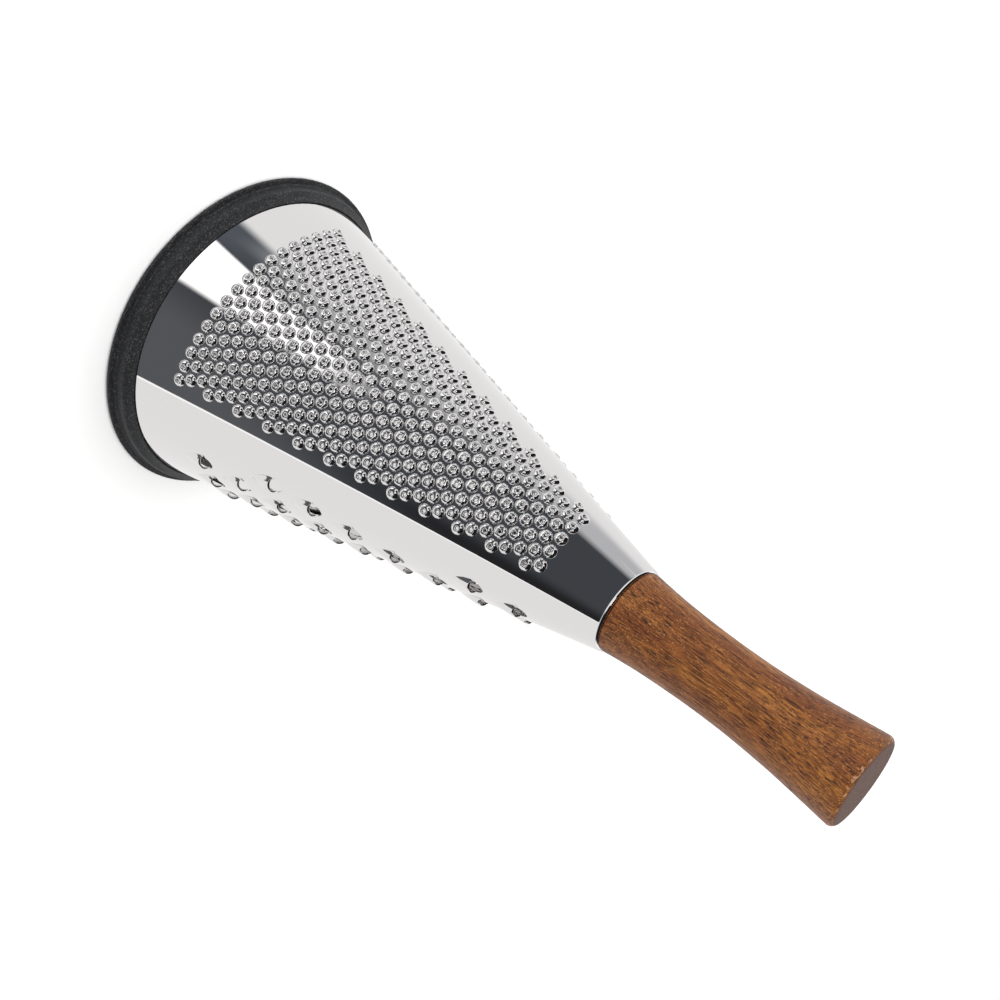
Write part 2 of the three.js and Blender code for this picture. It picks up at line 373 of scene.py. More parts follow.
@dataclass(frozen=True)
class OiledHardwood(Finish):
    """Turned brown hardwood, oiled: long dark pores, soft streaks and duller end grain."""

    name: str = "oiled_turned_hardwood"
    slot: str = "turned_wood"
    heart: str = "#7E451B"
    end_grain: str = "#664638"
    figure: Layer = Layer((7.0, 7.0, 55.0), 0.30, 0.70, 2, "#A46728")
    streaks: Layer = Layer((0.9, 0.9, 26.0), 0.45, 0.72, 3, "#582A0C", 0.65)
    # Fibres are some 0.02 mm thick and pores 0.1 to 0.2 mm wide: both are drawn coarser to show.
    fibres: Layer = Layer((0.36, 0.36, 8.0), 0.42, 0.60, 4, "#582A0C", 0.72)
    flecks: Layer = Layer((0.30, 0.30, 0.7), 0.57, 0.68, 2, "#CC9458", 0.5)
    pores: Layer = Layer((0.30, 0.30, 7.0), 0.54, 0.62, 2, "#2A1407", 0.85)
    end_pores: float = 0.5
    pore_depth_mm: float = 0.05
    # A painted highlight round the rim under the end face, drawn as lighter wood that also stands
    # for wear.
    rim_highlight_and_wear: Layer = Layer((2.5, 2.5, 1.2), 0.54, 0.66, 4, "#C79B76", 0.7)
    end_below_mm: tuple[float, float] = (0.35, 0.05)
    rim_highlight_below_mm: tuple[float, float] = (1.7, 0.9)
    top_m: float = 0.27

    def make(self) -> Material:
        """Builds the material."""
        material, tree = self.start()
        place = add(tree, "ShaderNodeTexCoord").outputs["Object"]
        height = add(tree, "ShaderNodeSeparateXYZ", {0: place}).outputs["Z"]
        end, edge = (add(tree, "ShaderNodeMapRange", {
            "Value": height, "From Min": self.top_m - low * MM,
            "From Max": self.top_m - high * MM}, interpolation_type="SMOOTHSTEP")
            for low, high in (self.end_below_mm, self.rim_highlight_below_mm))
        pores = self.pores.mask(tree)
        body = linear(self.heart)
        for layer in (self.figure, self.streaks, self.fibres, self.flecks):
            body = layer.over(tree, layer.mask(tree), body)
        body = self.pores.over(tree, pores, body)
        # The painted rim highlight: the band under the end face, less the end itself, broken up by
        # noise.
        rim = add(tree, "ShaderNodeMath", {0: edge, 1: end}, operation="SUBTRACT")
        painted_rim_highlight = add(tree, "ShaderNodeMath", {0: self.rim_highlight_and_wear.mask(tree), 1: rim},
                     operation="MULTIPLY")
        body = self.rim_highlight_and_wear.over(tree, painted_rim_highlight, body)
        holes = add(tree, "ShaderNodeMath", {0: pores, 1: self.end_pores}, operation="MULTIPLY")
        cut = add(tree, "ShaderNodeMix", {
            0: holes, 6: linear(self.end_grain), 7: linear(self.pores.colour)}, data_type="RGBA")
        colour = add(tree, "ShaderNodeMix", {0: end, 6: body, 7: cut}, data_type="RGBA")
        rough = 0.40
        for mask, rise in ((end, 0.15), (pores, 0.18)):
            rough = add(tree, "ShaderNodeMath", {0: mask, 1: rise, 2: rough},
                        operation="MULTIPLY_ADD")
        bump = add(tree, "ShaderNodeBump", {
            "Height": pores, "Distance": self.pore_depth_mm * MM, "Strength": 0.7}, invert=True)
        return self.shaded(material, {
            "Base Color": colour, "Roughness": rough, "Normal": bump, "Specular IOR Level": 0.3})


# ---- Teeth, as they are punched in the flat blank ----------------------------------------


class ToothShape(Enum):
    """The two kinds of tooth in the sheet."""

    CROWN = "crown"
    SCOOP = "scoop"


@dataclass
class Tooth:
    """One tooth in the flat blank, as rings of points that run from the sheet's outside, over
    the tooth's edge and down to the sheet's inside. X runs round the cone and Y up it."""

    shape: ToothShape
    half_width: float
    height: float
    sheet: float
    sides: int
    petals: int = 4
    length: float = 0.0
    reach: float = 0.0
    lean: float = -0.4
    hole_share: float = 0.88

    @property
    def inner_share(self) -> float:
        """How much of the outside's opening the opening in the sheet's inside is."""
        return 0.86 if self.shape is ToothShape.CROWN else 0.96

    def footprint(self) -> np.ndarray:
        """Returns the outline that the tooth takes up in the sheet, in millimetres."""
        return self.rings()[0][:, :2]

    def rings(self) -> list[np.ndarray]:
        """Returns the tooth's rings of points, in millimetres."""
        return self.crown() if self.shape is ToothShape.CROWN else self.scoop()

    def crown(self) -> list[np.ndarray]:
        """Returns the rings of a pierced crown: a dome whose torn top stands in petals."""
        turn = np.arange(self.sides) * 2 * math.pi / self.sides
        petal = 0.5 + 0.5 * np.cos(self.petals * turn + math.pi)
        uneven = 1 + 0.10 * np.cos(turn - 0.7)
        shares = [(1.0, 0.0, 0.0), (0.93, 0.38, 0.02), (0.73, 0.70, 0.07), (0.48, 0.91, 0.18),
                  (0.25, 1.0, 0.46)]
        rings = []
        for radius, height, notch in shares:
            rise = self.height * height * (1 - notch * (1 - petal))
            if notch > 0.1:
                rise = rise * uneven
            reach = self.half_width * radius * np.ones(self.sides)
            rings.append(np.stack([reach * np.cos(turn), reach * np.sin(turn), rise], axis=1))
        inner = self.half_width * 0.20
        outer = self.half_width * self.inner_share
        rings.append(np.stack([inner * np.cos(turn), inner * np.sin(turn),
                               np.full(self.sides, self.height * 0.45)], axis=1))
        rings.append(np.stack([outer * np.cos(turn), outer * np.sin(turn),
                               np.full(self.sides, -self.sheet)], axis=1))
        return rings

    def scoop(self) -> list[np.ndarray]:
        """Returns the rings of a coarse scoop: a ramp that climbs to an open arch."""
        turn = (np.arange(self.sides) + 0.5) * 2 * math.pi / self.sides
        across, rise = np.cos(turn), np.sin(turn)
        under = np.maximum(-rise, 0)
        above = np.maximum(rise, 0)
        half = self.half_width
        foot = np.stack([half * across * (1 - 0.55 * under ** 2),
                         (self.reach + 0.5) * above - self.length * under], axis=1)
        edge = np.stack([half * self.hole_share * across,
                         self.reach * above + self.lean * under], axis=1)
        lift = self.height * under ** 0.75
        rings = []
        for share in (0.0, 0.14, 0.36, 0.60, 0.82, 1.0):
            place = foot + (edge - foot) * share
            climb = 1 - (1 - share) ** 1.7
            rings.append(np.column_stack([place, lift * climb * share ** 0.15]))
        for share in (0.97, 0.70, 0.35, 0.0):
            under_foot = foot * self.inner_share
            place = under_foot + (edge * 0.93 - under_foot) * share
            climb = (1 - (1 - share) ** 1.7) * share ** 0.15
            rings.append(np.column_stack([place, lift * climb * 0.97 - self.sheet]))
        return rings

    def object(self) -> Piece:
        """Makes the tooth as an object to be placed, with millimetres as its units."""
        rings = self.rings()
        places = np.concatenate(rings)
        faces = []
        for k in range(len(rings) - 1):
            for i in range(self.sides):
                j = (i + 1) % self.sides
                low, high = k * self.sides, (k + 1) * self.sides
                faces.append((low + i, low + j, high + j, high + i))
        mesh = bpy.data.meshes.new(f"{self.shape.value}_tooth")
        mesh.from_pydata(places.tolist(), [], faces)
        return mesh_object(mesh.name, mesh)


@dataclass(frozen=True)
class Hole:
    """The opening that one tooth needs in the flat blank."""

    tooth: Tooth
    from_apex: float
    turn: float

    @property
    def centre(self) -> np.ndarray:
        """The opening's middle on the flat."""
        return np.array([self.from_apex * math.sin(self.turn),
                         -self.from_apex * math.cos(self.turn)])

    @property
    def spin(self) -> np.ndarray:
        """The turn from the tooth's own directions to the flat's."""
        cos, sin = math.cos(self.turn), math.sin(self.turn)
        return np.array([[cos, -sin], [sin, cos]])


@dataclass
class Zone:
    """A staggered field of teeth on the flat blank."""

    name: str
    tooth: Tooth
    turn: float
    start: float
    row_pitch: float
    pitch: float
    count: Callable[[int], int]
    quarter_turns: bool = True
    row_bow: float = 0.5

    def holes(self, cone: "ConeSize") -> Iterator[Hole]:
        """Goes through the openings of the zone's teeth, row by row from the rim.

        Args:
            cone: the cone's sizes.

        Yields:
            Each opening, with its turn on the flat in radians.
        """
        middle = math.radians(self.turn) * math.sin(cone.lean)
        rows = math.floor((cone.slant - cone.neck_clear - self.start) / self.row_pitch) + 1
        for row in range(rows):
            count = self.count(row)
            straight = cone.apex_slant - self.start - row * self.row_pitch
            for i in range(count):
                across = (i - (count - 1) / 2) * self.pitch
                bowed = (1 - self.row_bow) * (math.hypot(straight, across) - straight)
                from_apex = straight + bowed
                yield Hole(self.tooth, from_apex, middle + math.asin(across / from_apex))


# ---- The cone ----------------------------------------------------------------------------


@dataclass
class ConeSize:
    """The cone's sizes in millimetres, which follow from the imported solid's box."""

    rim_radius: float
    rim_z: float
    neck_z: float
    neck_radius: float = 15.05
    neck_lip: float = 2.25
    neck_bend: float = 1.2
    neck_clear: float = 24.5
    sheet: float = 0.7

    @property
    def lean(self) -> float:
        """How far the sheet leans in from upright, in radians."""
        return math.atan((self.rim_radius - self.neck_radius) / (self.neck_z - self.rim_z))

    @property
    def opening(self) -> float:
        """The radius of the round opening in the neck."""
        return self.neck_radius - self.neck_lip

    @property
    def slant(self) -> float:
        """The sheet's length from the rim to the neck."""
        return (self.neck_z - self.rim_z) / math.cos(self.lean)

    @property
    def apex_slant(self) -> float:
        """The length along the sheet from the rim to where the cone would end in a point."""
        return self.rim_radius / math.sin(self.lean)

    @property
    def half_turn(self) -> float:
        """Half the angle of the flat blank."""
        return math.pi * math.sin(self.lean)

    def stand_off(self, places: np.ndarray) -> np.ndarray:
        """Returns how far each place, in millimetres, is outside the cone's outer face."""
        radius = np.hypot(places[:, 0], places[:, 1])
        fall = (places[:, 2] - self.rim_z) * math.sin(self.lean)
        return (radius - self.rim_radius) * math.cos(self.lean) + fall

    def outward(self, places: np.ndarray) -> np.ndarray:
        """Returns the cone's outward direction beside each place."""
        turn = np.arctan2(places[:, 0], -places[:, 1])
        level = math.cos(self.lean)
        rise = np.full(len(places), math.sin(self.lean))
        return np.stack([np.sin(turn) * level, -np.cos(turn) * level, rise], axis=1)

    def rolled(self, flat: np.ndarray) -> np.ndarray:
        """Rolls places of the flat blank into the cone.

        Args:
            flat: places in millimetres, with the apex at the origin and the front's middle
                line along -Y.

        Returns:
            The places on the cone, in millimetres.
        """
        slant = np.hypot(flat[:, 0], flat[:, 1])
        turn = np.arctan2(flat[:, 0], -flat[:, 1]) / math.sin(self.lean)
        radius = slant * math.sin(self.lean)
        height = self.rim_z + (self.apex_slant - slant) * math.cos(self.lean)
        on_sheet = np.stack([radius * np.sin(turn), -radius * np.cos(turn), height], axis=1)
        return on_sheet + self.outward(on_sheet) * flat[:, 2:]


def punch_tree() -> bpy.types.GeometryNodeTree:
    """Builds the node group that sets a tooth on every point of a zone.

    Returns:
        The tree, with the tooth, its scale, the seed of its quarter turns and the material as
        named inputs.
    """
    tree = bpy.data.node_groups.new("punch_teeth", "GeometryNodeTree")
    face = tree.interface
    for name, kind in (("Places", "NodeSocketGeometry"), ("Tooth", "NodeSocketObject"),
                       ("Scale", "NodeSocketFloat"), ("Quarter turns", "NodeSocketInt"),
                       ("Seed", "NodeSocketInt"), ("Material", "NodeSocketMaterial")):
        face.new_socket(name, in_out="INPUT", socket_type=kind)
    face.new_socket("Teeth", in_out="OUTPUT", socket_type="NodeSocketGeometry")
    given = add(tree, "NodeGroupInput").outputs
    tooth = add(tree, "GeometryNodeObjectInfo", {"Object": given["Tooth"]})
    turn = add(tree, "GeometryNodeInputNamedAttribute", {"Name": "turn"}, data_type="FLOAT")
    quarter = add(tree, "FunctionNodeRandomValue", {"Seed": given["Seed"]}, data_type="INT")
    low, high = [s for s in quarter.inputs if s.type == "INT" and s.name in ("Min", "Max")]
    low.default_value = 0
    tree.links.new(given["Quarter turns"], high)
    chosen = next(s for s in quarter.outputs if s.type == "INT")
    angle = add(tree, "ShaderNodeMath", {0: chosen, 1: math.pi / 2, 2: turn.outputs[0]},
                operation="MULTIPLY_ADD")
    around = add(tree, "ShaderNodeCombineXYZ", {"Z": angle})
    set_on = add(tree, "GeometryNodeInstanceOnPoints", {
        "Points": given["Places"], "Instance": tooth.outputs["Geometry"],
        "Rotation": around, "Scale": given["Scale"]})
    real = add(tree, "GeometryNodeRealizeInstances", {"Geometry": set_on})
    dressed = add(tree, "GeometryNodeSetMaterial", {
        "Geometry": real, "Material": given["Material"]})
    add(tree, "NodeGroupOutput", {"Teeth": dressed})
    return tree


@dataclass
class PunchedCone:
    """The grating cone: a flat blank with its teeth punched, rolled and bent in at the neck."""

    size: ConeSize
    zones: list[Zone]
    columns: int = 120
    row_step: float = 5.0
    clear_of_teeth: float = 0.45
    seed: int = 7

    def teeth(self, zone: Zone, tree: bpy.types.GeometryNodeTree,
              material: Material) -> Mesh:
        """Punches a zone's teeth in the flat blank.

        Args:
            zone: the zone.
            tree: the node group that sets the teeth.
            material: the sheet's material.

        Returns:
            The teeth as one plain mesh, in millimetres.
        """
        holes = list(zone.holes(self.size))
        dots = bpy.data.meshes.new(zone.name)
        dots.from_pydata([(*hole.centre.tolist(), 0) for hole in holes], [], [])
        turns = dots.attributes.new("turn", "FLOAT", "POINT")
        turns.data.foreach_set("value", [hole.turn for hole in holes])
        holder = mesh_object(zone.name, dots)
        tooth = zone.tooth.object()
        modifier = holder.modifiers.new("punch", "NODES")
        modifier.node_group = tree
        inputs = {"Tooth": tooth, "Scale": 1.0, "Quarter turns": 3 if zone.quarter_turns else 0,
                  "Seed": self.seed, "Material": material}
        for item in tree.interface.items_tree:
            if item.name in inputs:
                modifier[item.identifier] = inputs[item.name]
        graph = bpy.context.evaluated_depsgraph_get()
        made = bpy.data.meshes.new_from_object(holder.evaluated_get(graph))
        holder.modifiers.remove(modifier)
        bpy.data.objects.remove(holder)
        bpy.data.objects.remove(tooth)
        return made

    def grid(self, holes: list[Hole]) -> np.ndarray:
        """Lists the blank's own points, apart from the teeth.

        Args:
            holes: every tooth's opening.

        Returns:
            Points on the flat: the whole of the two long edges and the two arcs, and a net
            between them that keeps clear of the teeth.
        """
        size = self.size
        rows = round(self.flat_slant / self.row_step)
        slants = np.linspace(size.apex_slant, size.apex_slant - self.flat_slant, rows + 1)
        turns = np.linspace(-size.half_turn, size.half_turn, self.columns + 1)
        slant, turn = np.meshgrid(slants, turns, indexing="ij")
        points = np.stack([slant * np.sin(turn), -slant * np.cos(turn)], axis=2).reshape(-1, 2)
        keep = np.ones(len(points), bool)
        for hole in holes:
            tooth = hole.tooth
            across, up = ((points - hole.centre) @ hole.spin).T
            ahead = (tooth.reach or tooth.half_width - 0.5) + 0.5
            behind = tooth.length or tooth.half_width
            stretch = np.where(up > 0, ahead, behind) + self.clear_of_teeth
            wide = tooth.half_width + self.clear_of_teeth
            keep &= (across / wide) ** 2 + (up / stretch) ** 2 > 1
        return points[keep]

    def blank(self) -> Mesh:
        """Cuts the flat blank, outside and inside, with an opening for every tooth.

        Returns:
            The two faces of the blank as one mesh, in millimetres.
        """
        holes = [hole for zone in self.zones for hole in zone.holes(self.size)]
        points = [Vector(p) for p in self.grid(holes)]
        hole_of = [-1] * len(points)
        edges = []
        for k, hole in enumerate(holes):
            foot = hole.tooth.footprint()
            first, count = len(points), len(foot)
            points += [Vector(p) for p in foot @ hole.spin.T + hole.centre]
            hole_of += [k] * count
            edges += [(first + i, first + (i + 1) % count) for i in range(count)]
        found = delaunay_2d_cdt(points, edges, [], 0, 1e-6, True)
        places, faces, sources = found[0], found[2], found[3]
        owner = [hole_of[s[0]] if s else -1 for s in sources]
        neck = self.size.apex_slant - self.flat_slant
        turns = [math.atan2(p.x, -p.y) / self.size.half_turn for p in places]
        sides = [(p.length < neck + 1e-3, turn > 0.9999, turn < -0.9999)
                 for p, turn in zip(places, turns)]
        kept = []
        for face in faces:
            holes_met = {owner[v] for v in face}
            in_hole = len(holes_met) == 1 and -1 not in holes_met
            outside = any(all(on_side) for on_side in zip(*(sides[v] for v in face)))
            if not in_hole and not outside:
                kept.append(face)
        return self.two_faced(places, kept, owner, holes)

    def two_faced(self, places: Sequence[Vector], faces: list[tuple[int, ...]],
                  owner: list[int], holes: list[Hole]) -> Mesh:
        """Makes the sheet's outside and inside from one flat net.

        Args:
            places: the net's points.
            faces: its triangles.
            owner: the number of the tooth whose opening a point is on, or -1.
            holes: every tooth's opening.

        Returns:
            Both faces as one mesh. The inside's openings follow the teeth's inner rings.
        """
        outer = np.array([(p.x, p.y, 0.0) for p in places])
        inner = outer.copy()
        inner[:, 2] = -self.size.sheet
        for v, k in enumerate(owner):
            if k >= 0:
                middle = holes[k].centre
                inner[v, :2] = middle + (outer[v, :2] - middle) * holes[k].tooth.inner_share
        count = len(outer)
        under = [tuple(v + count for v in reversed(face)) for face in faces]
        mesh = bpy.data.meshes.new("blank")
        mesh.from_pydata(np.concatenate([outer, inner]).tolist(), [], list(faces) + under)
        return mesh

    def collar(self) -> Mesh:
        """Makes the bend at the neck, its opening, and the cut edge at the rim.

        Returns:
            Two bands, in millimetres, that share their ends' points with the rolled sheet.
        """
        size = self.size
        lean = math.degrees(size.lean)
        bend_z = size.neck_z - size.neck_bend
        wall = size.rim_radius - (bend_z - size.rim_z) * math.tan(size.lean)
        centre = (wall - size.neck_bend / math.cos(size.lean), bend_z)
        mouth = (size.opening + size.sheet / 2, size.neck_z - size.sheet / 2)
        neck = [self.ring_point(size.apex_slant - self.flat_slant, 0.0)]
        neck += arc(centre, size.neck_bend, lean, 90, 6)[1:]
        neck += arc(mouth, size.sheet / 2, 90, 270, 6)
        neck += arc(centre, size.neck_bend - size.sheet, 90, lean, 4)[:-1]
        neck += [self.ring_point(size.apex_slant - self.flat_slant, -size.sheet)]
        rim = [self.ring_point(size.apex_slant, -size.sheet),
               self.ring_point(size.apex_slant, 0.0)]
        turns = np.linspace(-math.pi, math.pi, self.columns + 1)
        places, faces = [], []
        for band in (neck, rim):
            for k, (radius, height) in enumerate(band):
                if k > 0:
                    row = len(places)
                    faces += [(row - self.columns - 1 + i, row - self.columns + i, row + i + 1,
                               row + i) for i in range(self.columns)]
                places += [(radius * math.sin(t), -radius * math.cos(t), height) for t in turns]
        mesh = bpy.data.meshes.new("collar")
        mesh.from_pydata(places, [], faces)
        return mesh

    def ring_point(self, slant: float, off: float) -> Point2:
        """Returns the (radius, height) of a place on the sheet, that far off its outside."""
        place = self.size.rolled(np.array([[0.0, -slant, off]]))[0]
        return float(np.hypot(place[0], place[1])), float(place[2])

    @property
    def flat_slant(self) -> float:
        """The sheet's straight length, from the rim to where the neck's bend starts."""
        return self.size.slant - self.size.neck_bend

    def build(self, material: Material) -> Piece:
        """Punches the blank, rolls it, bends in its neck and closes its edges.

        Args:
            material: the sheet's material.

        Returns:
            The cone as one closed piece, in metres.
        """
        tree = punch_tree()
        shell = bmesh.new()
        shell.from_mesh(self.blank())
        for zone in self.zones:
            shell.from_mesh(self.teeth(zone, tree, material))
        bmesh.ops.remove_doubles(shell, verts=shell.verts, dist=SAME_PLACE / MM)
        flat = np.array([v.co for v in shell.verts])
        for vertex, place in zip(shell.verts, self.size.rolled(flat)):
            vertex.co = place
        shell.from_mesh(self.collar())
        bmesh.ops.remove_doubles(shell, verts=shell.verts, dist=SAME_PLACE / MM)
        bmesh.ops.recalc_face_normals(shell, faces=shell.faces)
        open_edges = sum(not edge.is_manifold for edge in shell.edges)
        LOG.info("cone: %d faces, %d open edges", len(shell.faces), open_edges)
        mesh = bpy.data.meshes.new("punched_cone")
        shell.to_mesh(mesh)
        shell.free()
        self.smooth(mesh)
        mesh.transform(Matrix.Scale(MM, 4))
        return mesh_object("punched_cone", mesh)

    def smooth(self, mesh: Mesh) -> None:
        """Shades the mesh smooth, and exactly as a cone wherever the sheet is plain."""
        mesh.shade_smooth()
        count = len(mesh.vertices)
        places = np.empty(count * 3)
        mesh.vertices.foreach_get("co", places)
        places = places.reshape(-1, 3)
        normals = np.array([n.vector for n in mesh.vertex_normals])
        off = self.size.stand_off(places)
        low = self.ring_point(self.size.apex_slant - self.flat_slant, 0.0)[1] + 1e-3
        plain = places[:, 2] < low
        outside = plain & (np.abs(off) < 1e-3)
        inside = plain & (np.abs(off + self.size.sheet) < 1e-3)
        away = self.size.outward(places)
        normals[outside] = away[outside]
        normals[inside] = -away[inside]
        mesh.normals_split_custom_set_from_vertices(normals.tolist())


# ---- Ring, handle and fastening ----------------------------------------------------------


@dataclass
class FootRing:
    """The rubber ring moulded round the rim: a flange, a coved side and a domed top."""

    cone: ConeSize
    outer: float
    top: float
    flange_height: float = 1.7
    side_out: float = 3.6
    wall: float = 2.6
    inner_top: float = 6.0
    gap: float = FIT_GAP
    lip_gap: float = 0.05
    segments: int = 180

    def outline(self) -> list[Point2]:
        """Returns the ring's outline, anticlockwise from its inner lower edge."""
        tan = math.tan(self.cone.lean)
        across = self.cone.sheet / math.cos(self.cone.lean)
        floor = self.cone.rim_z - self.gap

        def out_at(z: float) -> float:
            return self.cone.rim_radius - (z - self.cone.rim_z) * tan + self.gap

        def in_at(z: float) -> float:
            return out_at(z) - across - 2 * self.gap

        inside = in_at(floor) - self.wall
        side = out_at(self.top) - self.gap + self.side_out
        flange = self.flange_height
        points = [(inside + 0.4, 0.0)]
        points += arc((self.outer - 1.1, 1.1), 1.1, -90, 0, 5)
        points += arc((self.outer - 0.55, flange - 0.55), 0.55, 0, 80, 4)
        points += arc((side + 0.9, flange + 1.0), 0.9, 255, 180, 6)
        points += [(side - 0.15, self.top - 4.2)]
        points += arc((side - 1.55, self.top - 3.4), 1.4, 8, 62, 6)
        points += [(side - 2.0, self.top - 1.35), (side - 2.7, self.top - 0.55)]
        lip = out_at(self.top) - self.gap + self.lip_gap
        points += arc((lip + 0.35, self.top - 0.35), 0.35, 90, 180, 4)
        points += [(out_at(self.top - 1.2) - self.gap + self.lip_gap, self.top - 1.2)]
        points += [(out_at(self.top - 1.8), self.top - 1.8)]
        points += [(out_at(floor), floor + 0.2), (in_at(floor), floor + 0.2)]
        points += [(in_at(self.inner_top), self.inner_top - 0.2)]
        points += arc((inside + 0.8, self.inner_top - 1.0), 0.8, 60, 180, 5)
        points += [(inside, 0.4)]
        return points

    def build(self) -> Piece:
        """Turns the outline."""
        return mesh_object("foot_ring_moulding", turned("foot_ring", self.outline(), self.segments))


@dataclass
class Handle:
    """The turned wooden handle: shoulder, waist and a fuller end, with a tenon in the neck."""

    shoulder_z: float
    top: float
    tenon_end: float
    tenon_radius: float
    waist: list[Point2] = field(default_factory=lambda: [
        (0.012, 14.35), (0.08, 13.65), (0.17, 12.95), (0.30, 12.38), (0.43, 12.15),
        (0.56, 12.32), (0.72, 13.12), (0.86, 14.30), (0.945, 15.10), (0.974, 15.35)])
    end_round: float = 2.0
    shoulder_round: float = 0.35
    bore: float = 2.4
    bore_depth: float = 24.3
    steps_between: int = 5
    segments: int = 128

    def side(self) -> list[Point2]:
        """Returns the smooth side through the waist's points, from the neck up."""
        length = self.top - self.shoulder_z
        knots = [Vector((r, self.shoulder_z + s * length)) for s, r in self.waist]
        knots = [2 * knots[0] - knots[1], *knots, 2 * knots[-1] - knots[-2]]
        points = []
        for a, b, c, d in zip(knots, knots[1:], knots[2:], knots[3:]):
            for i in range(self.steps_between):
                t = i / self.steps_between
                place = 0.5 * (2 * b + (c - a) * t + (2 * a - 5 * b + 4 * c - d) * t ** 2
                               + (3 * b - a - 3 * c + d) * t ** 3)
                points.append((place.x, place.y))
        return points

    def outline(self) -> list[Point2]:
        """Returns the handle's outline, anticlockwise from the bore's end to the flat end."""
        bore_top = self.tenon_end + self.bore_depth
        radius = self.waist[-1][1]
        start = self.waist[0][1]
        points = [(0.0, bore_top), (self.bore, bore_top - self.bore)]
        points += [(self.bore, self.tenon_end), (self.tenon_radius - 0.6, self.tenon_end)]
        points += [(self.tenon_radius, self.tenon_end + 0.6)]
        points += [(self.tenon_radius, self.shoulder_z)]
        points += arc((start - self.shoulder_round, self.shoulder_z + self.shoulder_round),
                      self.shoulder_round, -90, -15, 4)
        points += self.side()
        points += arc((radius - self.end_round, self.top - self.end_round), self.end_round,
                      0, 90, 8)
        points += [(radius - self.end_round - 1.0, self.top), (0.0, self.top)]
        return points

    def build(self) -> Piece:
        """Turns the outline."""
        return mesh_object("turned_handle", turned("handle", self.outline(), self.segments))


@dataclass
class NeckFastening:
    """The disc and the washer that the screw pulls the handle down with."""

    disc: tuple[float, float]
    washer: tuple[float, float]
    disc_radii: tuple[float, float]
    washer_radius: float
    bore: float = 2.4
    round_over: float = 0.3
    segments: int = 72

    def plate(self, name: str, low: float, high: float, low_radius: float,
              high_radius: float) -> Piece:
        """Turns a flat ring with rounded outer edges."""
        r = self.round_over
        points = [(self.bore, low), (low_radius - r, low)]
        points += arc((low_radius - r, low + r), r, -90, 0, 4)[1:]
        points += arc((high_radius - r, high - r), r, 0, 90, 4)
        points += [(self.bore + 0.15, high), (self.bore, high - 0.15)]
        return mesh_object(name, turned(name, points, self.segments))

    def build(self) -> list[Piece]:
        """Turns the disc and the washer."""
        disc = self.plate("fitted_disc", *self.disc, *self.disc_radii)
        washer = self.plate("fitted_washer", *self.washer, self.washer_radius,
                            self.washer_radius)
        return [disc, washer]


# ---- Studio ------------------------------------------------------------------------------


@dataclass(frozen=True)
class Card:
    """A light or dark card round the object, as the directions in which it is seen.

    Headings are degrees round from -Y towards +X, and heights degrees above level. The sides
    slide by their slope for every degree of height. The soft edges are in degrees too, in the
    order left, right, low, high.
    """

    tone: Colour
    headings: tuple[float, float]
    heights: tuple[float, float]
    soft: tuple[float, float, float, float]
    slopes: tuple[float, float] = (0.0, 0.0)


